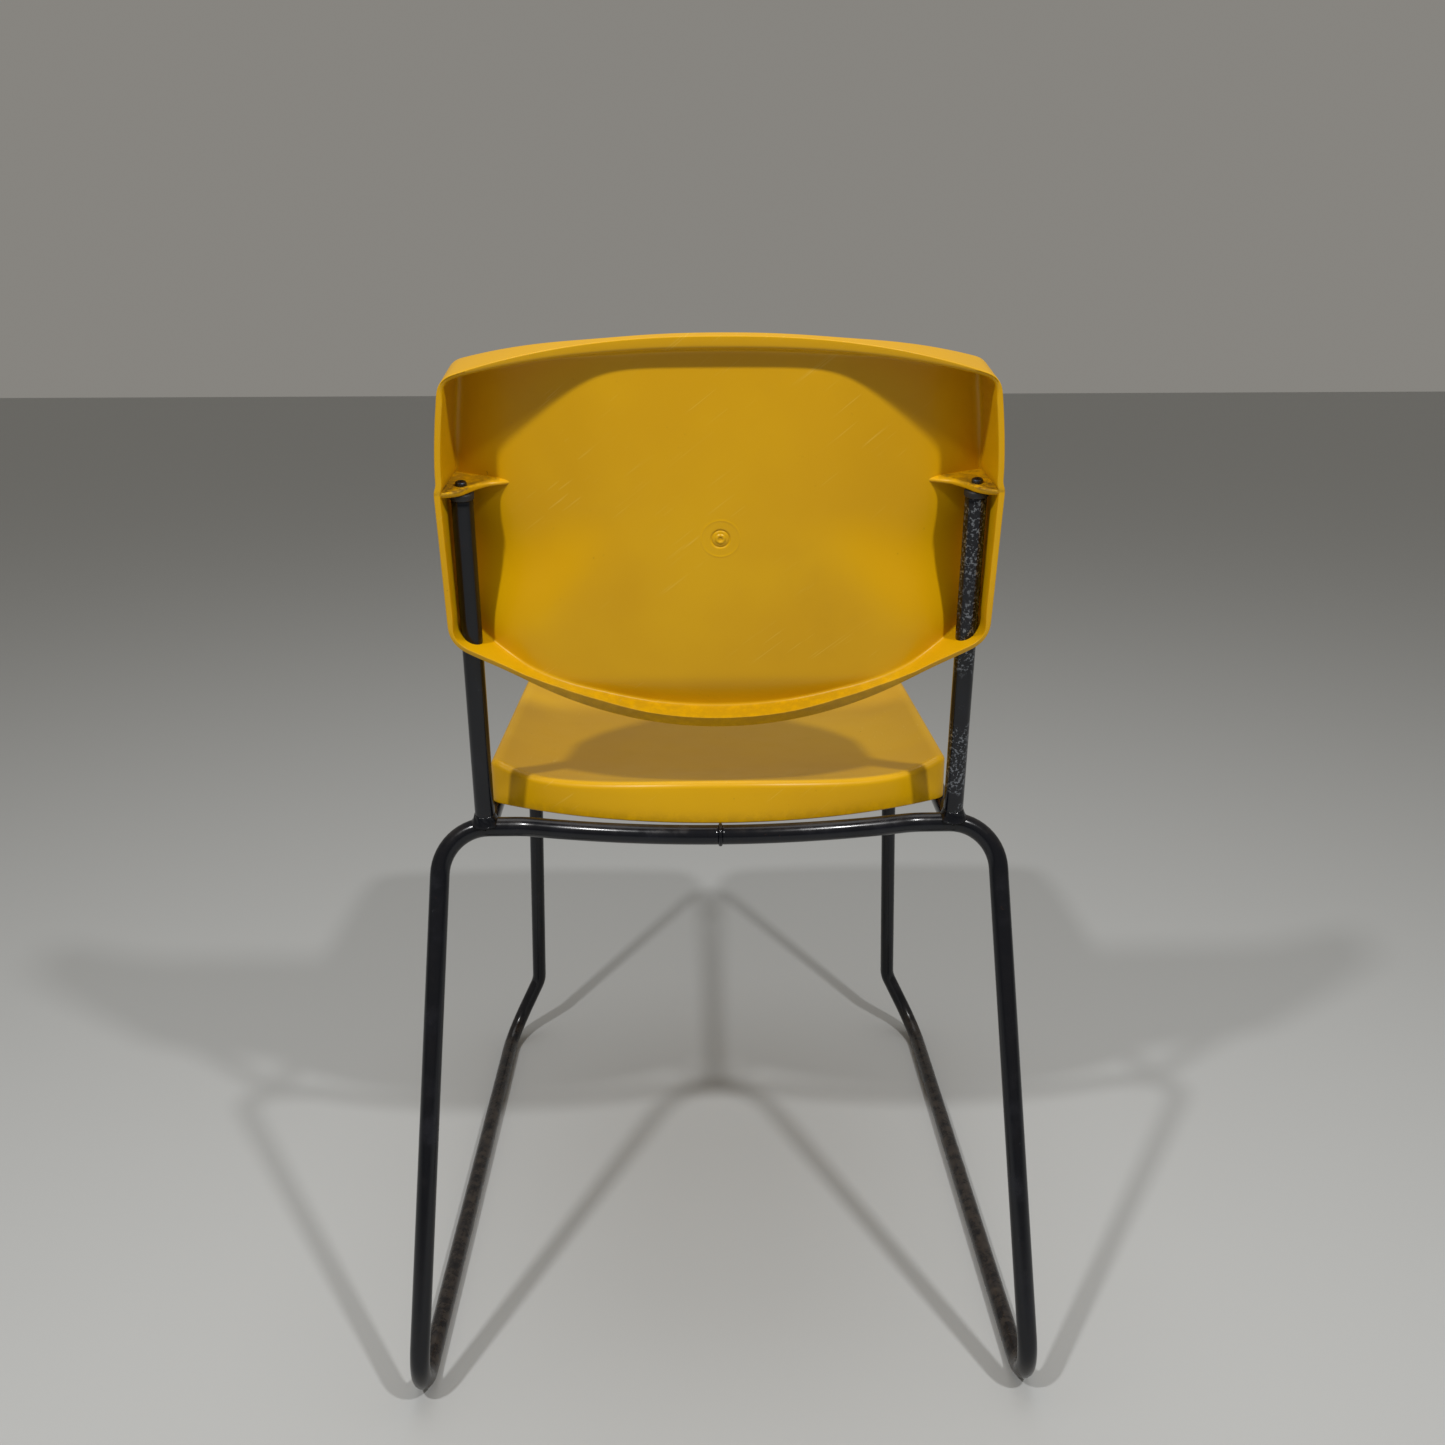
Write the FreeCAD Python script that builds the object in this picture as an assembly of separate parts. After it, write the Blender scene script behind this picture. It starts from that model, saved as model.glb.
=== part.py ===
import FreeCAD, Part
import math
import os

# Stacking chair: a bent-rod sled frame, two tube uprights, a moulded seat and a moulded back.
# Millimetres. +Z is up, the sitter faces -Y, and the origin is on the floor under the middle.

os.makedirs("parts", exist_ok=True)

# --- frame rod ---
rod_d = 15.0
rod_r = rod_d / 2
runner_x = 235.5          # half spacing of the floor runners
rear_foot_y = 301.5       # where leg and runner would meet if the bend were sharp
front_foot_y = -272.5
kink_x = 204.3            # the front leg turns upright here, inboard of the runner
kink_y = -288.5
kink_z = 70.0
rail_z = 434.5            # height of the rear crossbar and the seat rails
front_top_x = 190.5
front_top_y = -249.5
rail_rear_x = 179.5
crossbar_y = 163.5        # straight ends of the rear crossbar
crossbar_mid_y = 185.5    # its middle bows back around the seat
bow_x = 70.0
shoulder_x = 149.8
knee_x = 214.5
bow_radius = 518.0
shoulder_radius = 60.0
bend_radius = 38.0
front_foot_radius = 43.0
kink_radius = 24.0

# --- welds and the front brace ---
weld_gap = 0.3            # left between a rod's end and what it is welded to
butt_bead_r = 1.5
rail_bead_len = 11.0
rail_bead_over = 0.9      # how far the rail's weld stands proud of the rod
collar_len = 8.0          # weld fillet round an upright's foot
collar_over = 3.6
collar_lift = 4.5
thin_edge = 0.05          # a weld fillet tapers to this
brace_r = 6.0
brace_y = -205.0
brace_bead_over = 3.0
brace_bead_len = 6.0
rod_end_reach = 40.0      # length of rod used to shape the end of whatever is welded to it

# --- uprights and bushes ---
lean = 13.0               # degrees the uprights and the back lean rearwards
upright_x = 180.6         # at the crossbar
upright_top_x = 174.4
upright_wall = 1.5
upright_set = 25.0        # axis ahead of the back shell's rear rim
upright_len = 250.0       # height of the tube's end along the lean
plug_len = 12.0           # the tube is closed by the crossbar and weld for this long
bush_head = 5.0
bush_head_over = 0.8
bush_edge_r = 1.2
bush_shank = 24.0
bush_bore = 20.0
bush_play = 0.05

# --- back shell, in its own frame: X across, Y rearwards, Z up the lean ---
back_origin = FreeCAD.Vector(0, 188.5, 444.0)
back_wall = 4.0
back_half_w = 188.5
back_top = 364.0
back_bottom = 86.2
panel_depth = 9.5         # rear face of the panel's middle, ahead of the rim
panel_low_drop = 6.0      # the panel sinks this much more near its lower edge
panel_low_v = (122.0, 92.0)
panel_bend_v = (145.0, 245.0)   # the low and high shapes of the panel blend between these
panel_low = (0.95, 142.0, 12.0)  # slope beside the middle, where it starts, softness
panel_high = (0.42, 78.0, 10.0)
panel_grid = 14.0
cavity_reach = 200.0      # how far the cutting blocks run ahead of the back
back_reach = 70.0         # the outline is extruded this far ahead of the rim
tube_hole_stop = 60.0     # the upright's clearance hole ends this far below its top
screw_hole_len = 40.0
rim_sag = 8.0             # the rear rim curves forward this much at the sides
top_corner = (179.5, 335.5)
top_side = (185.6, 300.0)
side_mid = (188.0, 262.0)
low_corner = (190.0, 148.5)
skirt_end = (140.0, 123.6)
top_corner_r = 12.0
low_corner_r = 22.0
inner_top_corner_r = 9.0
inner_low_corner_r = 18.0
web_v = 255.5
web_t = 4.0
web_edge = ((190.5, -4.8), (179.0, -8.0), (172.0, -14.0), (165.5, -25.0), (157.0, -34.5),
            (148.0, -41.0))
web_floor_y = -60.0
tube_hole_over = 1.0
screw_hole_over = 0.3
gate_z = 226.0            # low ring left by the mould's gate
gate_r = 4.5
gate_inner_r = 2.6
gate_h = 0.6

# --- seat shell ---
seat_bottom = 442.6
seat_h = 34.9
seat_half_w = 180.5
seat_rear_mid_y = 181.5
seat_rear_corner_y = 128.5
seat_front_y = -262.0
seat_front_mid_y = -274.0
seat_wall = 4.0
seat_rim = 8.0            # flat border beside the dish
dish_depth = 17.0
roll_from_y = -150.0      # the front edge rolls down from here
roll_len = 120.0
roll_drop = 13.0
seat_rear_corner_r = 16.0
seat_front_corner_r = 42.0
rib_pitch = 60
rib_t = 2.5
rib_lift = 6.0            # ribs stop this far above the skirt's lower edge
rib_bite = 0.5            # ribs run this far into the seat's skin
boss_r = 7.0
boss_drop = 0.6

# --- lugs and screws ---
lug_x = 159.0
lug_ys = (105.0, -170.0)
lug_t = 3.0
lug_w = 24.0
lug_end = 9.0             # lug metal beyond the screw
lug_hole_over = 0.5
screw_d = 4.0
screw_play = 0.05
screw_head_r = 3.9
screw_head_h = 2.6
seat_screw_len = 4.0
back_screw_len = 22.0
drive_w = 0.9             # cross recess: arm width, arm length, depth
drive_len = 3.6
drive_depth = 0.9
washer_r = 5.5
washer_t = 1.0
washer_hole_over = 0.2
seat_gap = 0.25           # clearance under a screw head


def vec(x, y, z):
    return FreeCAD.Vector(x, y, z)


def save(shape, node):
    """Write one named piece and report its size."""
    shape.exportStep("parts/" + node + ".step")
    print(node, "valid", shape.isValid(), "volume", round(shape.Volume / 1000, 2), "cm3")


def mirrored(shape):
    return shape.mirror(vec(0, 0, 0), vec(1, 0, 0))


def pair(shape):
    return Part.makeCompound([shape, mirrored(shape)])


def biggest(shape):
    return max(shape.Solids, key=lambda solid: solid.Volume)


def cylinder_between(start, end, radius):
    return Part.makeCylinder(radius, (end - start).Length, start, end - start)


def bent_wire(corners, radii):
    """Straight runs between corners, each inner corner rounded by a tangent arc."""
    edges = []
    last = corners[0]
    for before, corner, after, radius in zip(corners, corners[1:], corners[2:], radii):
        back_dir = (before - corner).normalize()
        on_dir = (after - corner).normalize()
        half = back_dir.getAngle(on_dir) / 2
        start = corner + back_dir * (radius / math.tan(half))
        end = corner + on_dir * (radius / math.tan(half))
        bisector = (back_dir + on_dir).normalize()
        middle = corner + bisector * (radius / math.sin(half) - radius)
        edges.append(Part.LineSegment(last, start).toShape())
        edges.append(Part.Arc(start, middle, end).toShape())
        last = end
    edges.append(Part.LineSegment(last, corners[-1]).toShape())
    return Part.Wire(edges)


def swept_rod(corners, radii, radius):
    """A round rod along the bent wire, with its faces turned outwards."""
    facing = (corners[0] - corners[1]).normalize()
    ring = Part.Wire([Part.Circle(corners[0], facing, radius).toShape()])
    skin = bent_wire(corners, radii).makePipeShell([ring], True, False).Shells[0]
    skin.reverse()
    return Part.makeSolid(skin)


# --- side rods ---
def rail_point(y):
    """Point on the left seat rail's axis at a given y."""
    share = (y - front_top_y) / (crossbar_y - front_top_y)
    return vec(front_top_x + share * (rail_rear_x - front_top_x), y, rail_z)


def side_rod(side):
    """One bent rod: half the rear crossbar, rear leg, runner, front leg and seat rail."""
    corners = [
        vec(0, crossbar_mid_y, rail_z),
        vec(bow_x, crossbar_mid_y, rail_z),
        vec(shoulder_x, crossbar_y, rail_z),
        vec(knee_x, crossbar_y, rail_z),
        vec(runner_x, rear_foot_y, rod_r),
        vec(runner_x, front_foot_y, rod_r),
        vec(kink_x, kink_y, kink_z),
        vec(front_top_x, front_top_y, rail_z),
        rail_point(crossbar_y - rod_r - weld_gap),
    ]
    corners = [vec(side * corner.x, corner.y, corner.z) for corner in corners]
    radii = [bow_radius, shoulder_radius, bend_radius, bend_radius,
             front_foot_radius, kink_radius, bend_radius]
    return swept_rod(corners, radii, rod_r)


def butt_weld():
    """Raised ring of weld where the two halves of the crossbar meet."""
    middle = vec(0, crossbar_mid_y, rail_z)
    along = vec(rod_r, 0, 0)
    bead = Part.makeTorus(rod_r, butt_bead_r, middle, along)
    return bead.cut(cylinder_between(middle - along, middle + along, rod_r))


def rail_end_weld(rod, tube):
    """Weld that closes the gap between the rail's end and the front of the crossbar."""
    start = rail_point(crossbar_y - rail_bead_len)
    bead = cylinder_between(start, rail_point(crossbar_y), rod_r + rail_bead_over)
    return biggest(bead.cut(rod).cut(tube))


def rail_near(y):
    """A short run of the left rail, as a tool for shaping what is welded to it."""
    return cylinder_between(rail_point(y - rod_end_reach), rail_point(y + rod_end_reach), rod_r)


def front_brace():
    """Thin rod that ties the two rails together under the seat's front."""
    end = rail_point(brace_y)
    rod = cylinder_between(vec(-end.x, end.y, end.z), end, brace_r)
    rail = rail_near(brace_y)
    return biggest(rod.cut(rail).cut(mirrored(rail)))


def brace_weld():
    """Fillet of weld where the brace meets the left rail."""
    end = rail_point(brace_y)
    base = end - vec(rod_r - brace_bead_over, 0, 0)
    ring = Part.makeCone(brace_r + brace_bead_over, brace_r + thin_edge, brace_bead_len,
                         base, vec(-1, 0, 0))
    core = cylinder_between(end - vec(rod_end_reach, 0, 0), end, brace_r)
    return biggest(ring.cut(core).cut(rail_near(brace_y)))


# --- uprights ---
def upright_axis():
    """Foot and top end of the left upright."""
    foot = vec(upright_x, crossbar_y, rail_z)
    angle = math.radians(lean)
    rearwards = vec(0, math.cos(angle), -math.sin(angle))
    up = vec(0, math.sin(angle), math.cos(angle))
    top = back_origin + up * upright_len - rearwards * upright_set
    top.x = upright_top_x
    return foot, top


def upright():
    """Round tube standing on the crossbar, open at the top for its bush."""
    foot, top = upright_axis()
    along = (top - foot).normalize()
    tube = cylinder_between(foot, top, rod_r)
    bore = cylinder_between(foot + along * plug_len, top + along, rod_r - upright_wall)
    reach = vec(rod_end_reach, 0, 0)
    crossbar = cylinder_between(foot - reach, foot + reach, rod_r)
    return biggest(tube.cut(bore).cut(crossbar))


def upright_weld(rod, rail_bead):
    """Fillet of weld round an upright's foot."""
    foot, top = upright_axis()
    along = (top - foot).normalize()
    collar = Part.makeCone(rod_r + collar_over, rod_r + thin_edge, collar_len,
                           foot + along * collar_lift, along)
    core = cylinder_between(foot, top, rod_r)
    return biggest(collar.cut(core).cut(rod).cut(rail_bead))


def upright_bush():
    """Nylon bush: a shank inside the tube and a rounded collar that carries the back."""
    foot, top = upright_axis()
    along = (top - foot).normalize()
    shank = cylinder_between(top - along * bush_shank, top, rod_r - upright_wall - bush_play)
    head = cylinder_between(top, top + along * bush_head, rod_r + bush_head_over)
    rim_edges = [edge for edge in head.Edges if edge.Closed]
    head = head.makeFillet(bush_edge_r, rim_edges)
    bore = cylinder_between(top - along * bush_bore, top + along * bush_bore, screw_d / 2)
    return shank.fuse(head).removeSplitter().cut(bore)


# --- back shell ---
def to_back(shape):
    """Place a shape drawn in the back's own frame."""
    placed = shape.copy()
    placed.rotate(vec(0, 0, 0), vec(1, 0, 0), -lean)
    placed.translate(back_origin)
    return placed


def back_outline():
    """Rear view of the back: crowned top, tapering sides and a deep curved lower edge."""
    right = [vec(x, 0, z) for x, z in (top_corner, side_mid, low_corner, skirt_end)]
    left = [vec(-point.x, 0, point.z) for point in right]
    edges = [Part.Arc(left[0], vec(0, 0, back_top), right[0]),
             Part.Arc(right[0], vec(top_side[0], 0, top_side[1]), right[1]),
             Part.LineSegment(right[1], right[2]),
             Part.LineSegment(right[2], right[3]),
             Part.Arc(right[3], vec(0, 0, back_bottom), left[3]),
             Part.LineSegment(left[3], left[2]),
             Part.LineSegment(left[2], left[1]),
             Part.Arc(left[1], vec(-top_side[0], 0, top_side[1]), left[0])]
    return Part.Wire([edge.toShape() for edge in edges])


def corner_edges(prism, low, high):
    """Front-to-rear edges of an extruded outline whose height is between low and high."""
    found = []
    for edge in prism.Edges:
        start, end = edge.Vertexes[0].Point, edge.Vertexes[-1].Point
        level = abs(start.x - end.x) < 0.01 and abs(start.z - end.z) < 0.01
        if level and abs(start.x) > skirt_end[0] + back_wall and low < start.z < high:
            found.append(edge)
    return found


def rounded_prism(wire, y_from, y_to, high_r, low_r):
    """Extrude the outline front to rear and round its four outer corners."""
    face = Part.Face(wire)
    face.translate(vec(0, y_from, 0))
    prism = face.extrude(vec(0, y_to - y_from, 0))
    prism = prism.makeFillet(high_r, corner_edges(prism, side_mid[1] + back_wall, back_top))
    lower = corner_edges(prism, skirt_end[1], low_corner[1] + back_wall)
    return prism.makeFillet(low_r, lower)


def arched_block(offset, sag):
    """Everything ahead of an upright sheet that bends forward at the back's two sides."""
    radius = (back_half_w ** 2 + sag ** 2) / (2 * sag)
    return Part.makeCylinder(radius, 2 * back_top, vec(0, -offset - radius, -back_bottom))


def smooth(share):
    share = min(1.0, max(0.0, share))
    return share * share * (3 - 2 * share)


def panel_y(x, z):
    """Rear face of the panel: flat in the middle, bending forward towards the back's sides."""
    up = smooth((z - panel_bend_v[0]) / (panel_bend_v[1] - panel_bend_v[0]))
    slope, start, soft = [low + up * (high - low) for low, high in zip(panel_low, panel_high)]
    beside = soft * math.log1p(math.exp((abs(x) - start) / soft))
    low_share = smooth((panel_low_v[0] - z) / (panel_low_v[0] - panel_low_v[1]))
    return -panel_depth - panel_low_drop * low_share - slope * beside


def ahead_of_panel(drop):
    """Everything ahead of the panel's rear face moved forward by drop."""
    columns = math.ceil(back_half_w * 1.1 / panel_grid)
    xs = [panel_grid * i for i in range(-columns, columns + 1)]
    rows = math.ceil((back_top * 1.05 - back_bottom * 0.7) / panel_grid)
    zs = [back_bottom * 0.7 + panel_grid * j for j in range(rows + 1)]
    sheet = Part.BSplineSurface()
    sheet.interpolate([[vec(x, panel_y(x, z) - drop, z) for z in zs] for x in xs])
    return sheet.toShape().extrude(vec(0, -cavity_reach, 0))


def side_webs():
    """The shelf across each side pocket that the upright's bush is screwed to."""
    rear = [vec(x, y, web_v) for x, y in web_edge]
    curve = Part.BSplineCurve()
    curve.interpolate(rear)
    inner = vec(rear[-1].x, web_floor_y, web_v)
    outer = vec(rear[0].x, web_floor_y, web_v)
    wire = Part.Wire([curve.toShape(),
                      Part.LineSegment(rear[-1], inner).toShape(),
                      Part.LineSegment(inner, outer).toShape(),
                      Part.LineSegment(outer, rear[0]).toShape()])
    web = Part.Face(wire).extrude(vec(0, 0, web_t))
    return web.fuse(mirrored(web))


def gate_ring():
    """The low ring the mould's gate leaves on the rear of the back."""
    centre = vec(0, -panel_depth - gate_h / 2, gate_z)
    ring = Part.makeCylinder(gate_r, 1.5 * gate_h, centre, vec(0, 1, 0))
    return ring.cut(Part.makeCylinder(gate_inner_r, 1.5 * gate_h, centre, vec(0, 1, 0)))


def back_shell():
    """Tray-shaped back: a curved panel with a rim turned rearwards all round."""
    front = -back_reach
    outline = back_outline()
    outer = rounded_prism(outline, front, 0, top_corner_r, low_corner_r)
    outer = outer.cut(ahead_of_panel(back_wall))
    outer = outer.common(arched_block(0, rim_sag))
    inner = outline.makeOffset2D(-back_wall)
    cavity = rounded_prism(inner, front, back_wall, inner_top_corner_r, inner_low_corner_r)
    cavity = cavity.cut(ahead_of_panel(0))
    shell = outer.cut(cavity).fuse(side_webs().common(outer)).removeSplitter()
    shell = to_back(shell.fuse(gate_ring()))

    foot, top = upright_axis()
    along = (top - foot).normalize()
    tube_hole = cylinder_between(foot, top - along * tube_hole_stop, rod_r + tube_hole_over)
    screw_hole = cylinder_between(top, top + along * screw_hole_len, screw_d / 2 + screw_hole_over)
    for hole in (tube_hole, screw_hole):
        shell = shell.cut(hole).cut(mirrored(hole))
    return shell


# --- seat shell ---
def seat_top_z(x, y):
    """Height of the seat's upper surface: a flat rim round a shallow dish, rolling down in front."""
    across = min(1.0, abs(x) / (seat_half_w - seat_rim))
    middle = (seat_rear_mid_y + seat_front_y) / 2
    half = (seat_rear_mid_y - seat_front_y) / 2
    along = min(1.0, abs(y - middle) / half)
    dish = dish_depth * (1 - across ** 5) * (1 - along ** 6)
    ahead = max(0.0, (roll_from_y - y) / roll_len)
    return seat_bottom + seat_h - dish - roll_drop * ahead ** 2


def above_seat(drop):
    """The space above the seat's upper surface lowered by drop, reaching past the outline."""
    xs = [-210 + 30 * i for i in range(15)]
    ys = [-300 + 31.25 * j for j in range(17)]
    sheet = Part.BSplineSurface()
    sheet.interpolate([[vec(x, y, seat_top_z(x, y) - drop) for y in ys] for x in xs])
    return sheet.toShape().extrude(vec(0, 0, 2 * seat_h))


def seat_outline():
    rear = [vec(-seat_half_w, seat_rear_corner_y, 0), vec(0, seat_rear_mid_y, 0),
            vec(seat_half_w, seat_rear_corner_y, 0)]
    front = [vec(seat_half_w, seat_front_y, 0), vec(0, seat_front_mid_y, 0),
             vec(-seat_half_w, seat_front_y, 0)]
    edges = [Part.Arc(*rear), Part.LineSegment(rear[2], front[0]),
             Part.Arc(*front), Part.LineSegment(front[2], rear[0])]
    return Part.Wire([edge.toShape() for edge in edges])


def standing_edges(prism, side):
    """Vertical corner edges at the rear (side 1) or front (side -1)."""
    found = []
    for edge in prism.Edges:
        start, end = edge.Vertexes[0].Point, edge.Vertexes[-1].Point
        if abs(start.z - end.z) > seat_h / 2 and side * start.y > 0:
            found.append(edge)
    return found


def seat_prism(wire, z_from, rear_r, front_r):
    """Extrude the seat's outline up past its top and round the four corners."""
    face = Part.Face(wire)
    face.translate(vec(0, 0, z_from))
    prism = face.extrude(vec(0, 0, seat_bottom + 1.3 * seat_h - z_from))
    prism = prism.makeFillet(front_r, standing_edges(prism, -1))
    rear = [edge for edge in standing_edges(prism, 1) if edge.Vertexes[0].Point.y > 100]
    return prism.makeFillet(rear_r, rear)


def seat_screw_places():
    return [(x, y) for x in (-lug_x, lug_x) for y in lug_ys]


def seat_ribs():
    """Stiffening ribs and screw bosses below the seat, trimmed to its underside."""
    z = seat_bottom + rib_lift
    half_t = rib_t / 2
    length = seat_rear_mid_y - seat_front_y
    pieces = []
    for x in range(-2 * rib_pitch, 3 * rib_pitch, rib_pitch):
        pieces.append(Part.makeBox(rib_t, length, seat_h, vec(x - half_t, seat_front_y, z)))
    for y in range(-220, 150, rib_pitch):
        pieces.append(Part.makeBox(2 * seat_half_w, rib_t, seat_h, vec(-seat_half_w, y - half_t, z)))
    for x, y in seat_screw_places():
        pieces.append(Part.makeCylinder(boss_r, seat_h, vec(x, y, seat_bottom - boss_drop)))
    return pieces[0].multiFuse(pieces[1:]).cut(above_seat(seat_wall - rib_bite))


def seat_shell():
    """Dished seat pan with a skirt all round and ribs underneath."""
    outer = seat_prism(seat_outline(), seat_bottom, seat_rear_corner_r, seat_front_corner_r)
    outer = outer.cut(above_seat(0))
    inner = seat_outline().makeOffset2D(-seat_wall)
    hollow = seat_prism(inner, seat_bottom - 10, seat_rear_corner_r - seat_wall,
                        seat_front_corner_r - seat_wall)
    hollow = hollow.cut(above_seat(seat_wall))
    shell = outer.cut(hollow).fuse(seat_ribs().common(hollow.fuse(outer)))
    for x, y in seat_screw_places():
        shell = shell.cut(Part.makeCylinder(screw_d / 2, 12, vec(x, y, seat_bottom - 2)))
    return shell.removeSplitter()


# --- lugs and screws ---
def seat_lug(y):
    """Flat steel tab welded to the inside of the rail, with a hole for the seat screw."""
    inner_x = lug_x - lug_end
    low_z = seat_bottom - boss_drop - lug_t
    plate = Part.makeBox(rail_point(y).x - inner_x, lug_w, lug_t, vec(inner_x, y - lug_w / 2, low_z))
    hole = Part.makeCylinder(screw_d / 2 + lug_hole_over, 2 * lug_t, vec(lug_x, y, low_z - 1))
    return biggest(plate.cut(hole).cut(rail_near(y)))


def pan_screw(head_at, direction, length):
    """Pan-head screw with a cross recess: head resting at head_at, shank along direction."""
    back_up = direction * -1
    shank = Part.makeCylinder(screw_d / 2 - screw_play, length, head_at, direction)
    head = Part.makeCylinder(screw_head_r, screw_head_h, head_at, back_up)
    rim = [edge for edge in head.Edges if edge.Closed
           and edge.CenterOfMass.distanceToPoint(head_at) > screw_head_h / 2]
    head = head.makeFillet(screw_head_h * 0.55, rim)
    screw = shank.fuse(head).removeSplitter()
    floor_at = head_at + back_up * (screw_head_h - drive_depth)
    for across in (vec(1, 0, 0), direction.cross(vec(1, 0, 0))):
        third = back_up.cross(across)
        arm = Part.makeBox(drive_len, drive_w, 2 * drive_depth, vec(-drive_len / 2, -drive_w / 2, 0))
        place = FreeCAD.Matrix(across.x, third.x, back_up.x, floor_at.x,
                               across.y, third.y, back_up.y, floor_at.y,
                               across.z, third.z, back_up.z, floor_at.z,
                               0, 0, 0, 1)
        screw = screw.cut(arm.transformGeometry(place))
    return screw


def seat_fixings():
    """Screws and washers below the left lugs and their mirror images."""
    screws, washers = [], []
    top_z = seat_bottom - boss_drop - lug_t
    for y in lug_ys:
        base = vec(lug_x, y, top_z - washer_t)
        washer = Part.makeCylinder(washer_r, washer_t, base)
        washer = washer.cut(Part.makeCylinder(screw_d / 2 + washer_hole_over, washer_t, base))
        screw = pan_screw(base, vec(0, 0, 1), seat_screw_len)
        screws += [screw, mirrored(screw)]
        washers += [washer, mirrored(washer)]
    return Part.makeCompound(screws), Part.makeCompound(washers)


def back_screw():
    foot, top = upright_axis()
    along = (top - foot).normalize()
    head_at = top + along * (web_v + web_t + seat_gap - upright_len)
    return pan_screw(head_at, along * -1, back_screw_len)


# --- build ---
left_rod = side_rod(1)
save(left_rod, "left_side_rod")
save(side_rod(-1), "right_side_rod")
save(butt_weld(), "rear_butt_weld")
save(front_brace(), "front_brace")
save(pair(brace_weld()), "brace_welds")

left_tube = upright()
rail_bead = rail_end_weld(left_rod, left_tube)
left_collar = upright_weld(left_rod, rail_bead)
left_bush = upright_bush()
for node, shape in (("upright", left_tube), ("upright_weld", left_collar), ("upright_bush", left_bush)):
    save(shape, "left_" + node)
    save(mirrored(shape), "right_" + node)
save(pair(rail_bead), "rail_end_welds")

save(back_shell(), "back_shell")
save(pair(back_screw()), "back_screws")
save(seat_shell(), "seat_shell")
for node, lug_y in zip(("rear_seat_lugs", "front_seat_lugs"), lug_ys):
    save(pair(seat_lug(lug_y)), node)
seat_screws, seat_washers = seat_fixings()
save(seat_screws, "seat_screws")
save(seat_washers, "seat_washers")
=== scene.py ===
import math
import bmesh
import bpy
import numpy as np
from mathutils import Matrix, Vector


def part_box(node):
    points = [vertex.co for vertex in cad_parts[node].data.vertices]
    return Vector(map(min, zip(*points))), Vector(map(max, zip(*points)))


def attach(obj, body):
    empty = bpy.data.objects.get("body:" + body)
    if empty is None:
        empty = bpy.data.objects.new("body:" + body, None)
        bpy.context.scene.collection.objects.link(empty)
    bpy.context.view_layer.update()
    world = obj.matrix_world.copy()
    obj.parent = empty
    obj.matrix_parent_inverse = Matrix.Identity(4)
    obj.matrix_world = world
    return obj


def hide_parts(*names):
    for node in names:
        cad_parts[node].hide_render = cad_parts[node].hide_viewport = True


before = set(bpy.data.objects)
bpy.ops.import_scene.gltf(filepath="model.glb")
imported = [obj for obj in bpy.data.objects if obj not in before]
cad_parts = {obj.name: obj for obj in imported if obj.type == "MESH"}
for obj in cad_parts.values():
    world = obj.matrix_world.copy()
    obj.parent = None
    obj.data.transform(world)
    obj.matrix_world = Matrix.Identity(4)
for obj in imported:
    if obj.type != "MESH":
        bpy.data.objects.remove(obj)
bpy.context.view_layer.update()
mm = 0.001
print("frame loaded:", len(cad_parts), "CAD nodes")


# Small mesh helpers.
def blend(a, b, share):
    return a + (b - a) * share


# Soft step: 0 below 0, 1 above 1, and 3x^2 - 2x^3 between.
def smooth(x):
    x = np.clip(x, 0.0, 1.0)
    return x * x * (3.0 - 2.0 * x)


# 0 on the left, x on the right, with a bend about width wide.
def softRamp(x, width):
    return width * np.logaddexp(0.0, x / width)


# Puts arrays of points and faces into a smooth-shaded mesh object at the origin.
def addMesh(name, verts, faces):
    mesh = bpy.data.meshes.new(name)
    mesh.from_pydata(verts.tolist(), [], [list(f) for f in faces])
    work = bmesh.new()  # close the seams, then turn every face outwards
    work.from_mesh(mesh)
    bmesh.ops.remove_doubles(work, verts=work.verts, dist=1e-7)
    bmesh.ops.recalc_face_normals(work, faces=work.faces)
    work.to_mesh(mesh)
    work.free()
    mesh.polygons.foreach_set("use_smooth", np.ones(len(mesh.polygons), bool))
    mesh.update()
    piece = bpy.data.objects.new(name, mesh)
    bpy.context.collection.objects.link(piece)
    return piece


# Quads between rings of a closed grid, with a fan to a pole point at each end.
def gridFaces(rows, cols):
    row, col = np.meshgrid(np.arange(rows - 1), np.arange(cols), indexing="ij")
    on = (col + 1) % cols
    quads = np.stack([row * cols + col, row * cols + on,
                      (row + 1) * cols + on, (row + 1) * cols + col], -1).reshape(-1, 4)
    faces = quads.tolist()
    ring, nextRing = np.arange(cols), (np.arange(cols) + 1) % cols
    last, pole = (rows - 1) * cols, rows * cols
    faces += np.stack([nextRing, ring, np.full(cols, pole)], -1).tolist()
    faces += np.stack([ring + last, nextRing + last, np.full(cols, pole + 1)], -1).tolist()
    return faces


# A closed skin from rings of points, shape (rows, cols, 3), with a pole at each end.
def closedGrid(rings):
    rows, cols = rings.shape[:2]
    poles = np.stack([rings[0].mean(0), rings[-1].mean(0)])
    return np.concatenate([rings.reshape(-1, 3), poles]), gridFaces(rows, cols)


# Several (points, faces) skins as one.
def joined(parts):
    verts, faces, count = [], [], 0
    for v, f in parts:
        verts.append(v)
        faces += [[i + count for i in face] for face in f]
        count += len(v)
    return np.concatenate(verts), faces


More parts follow.
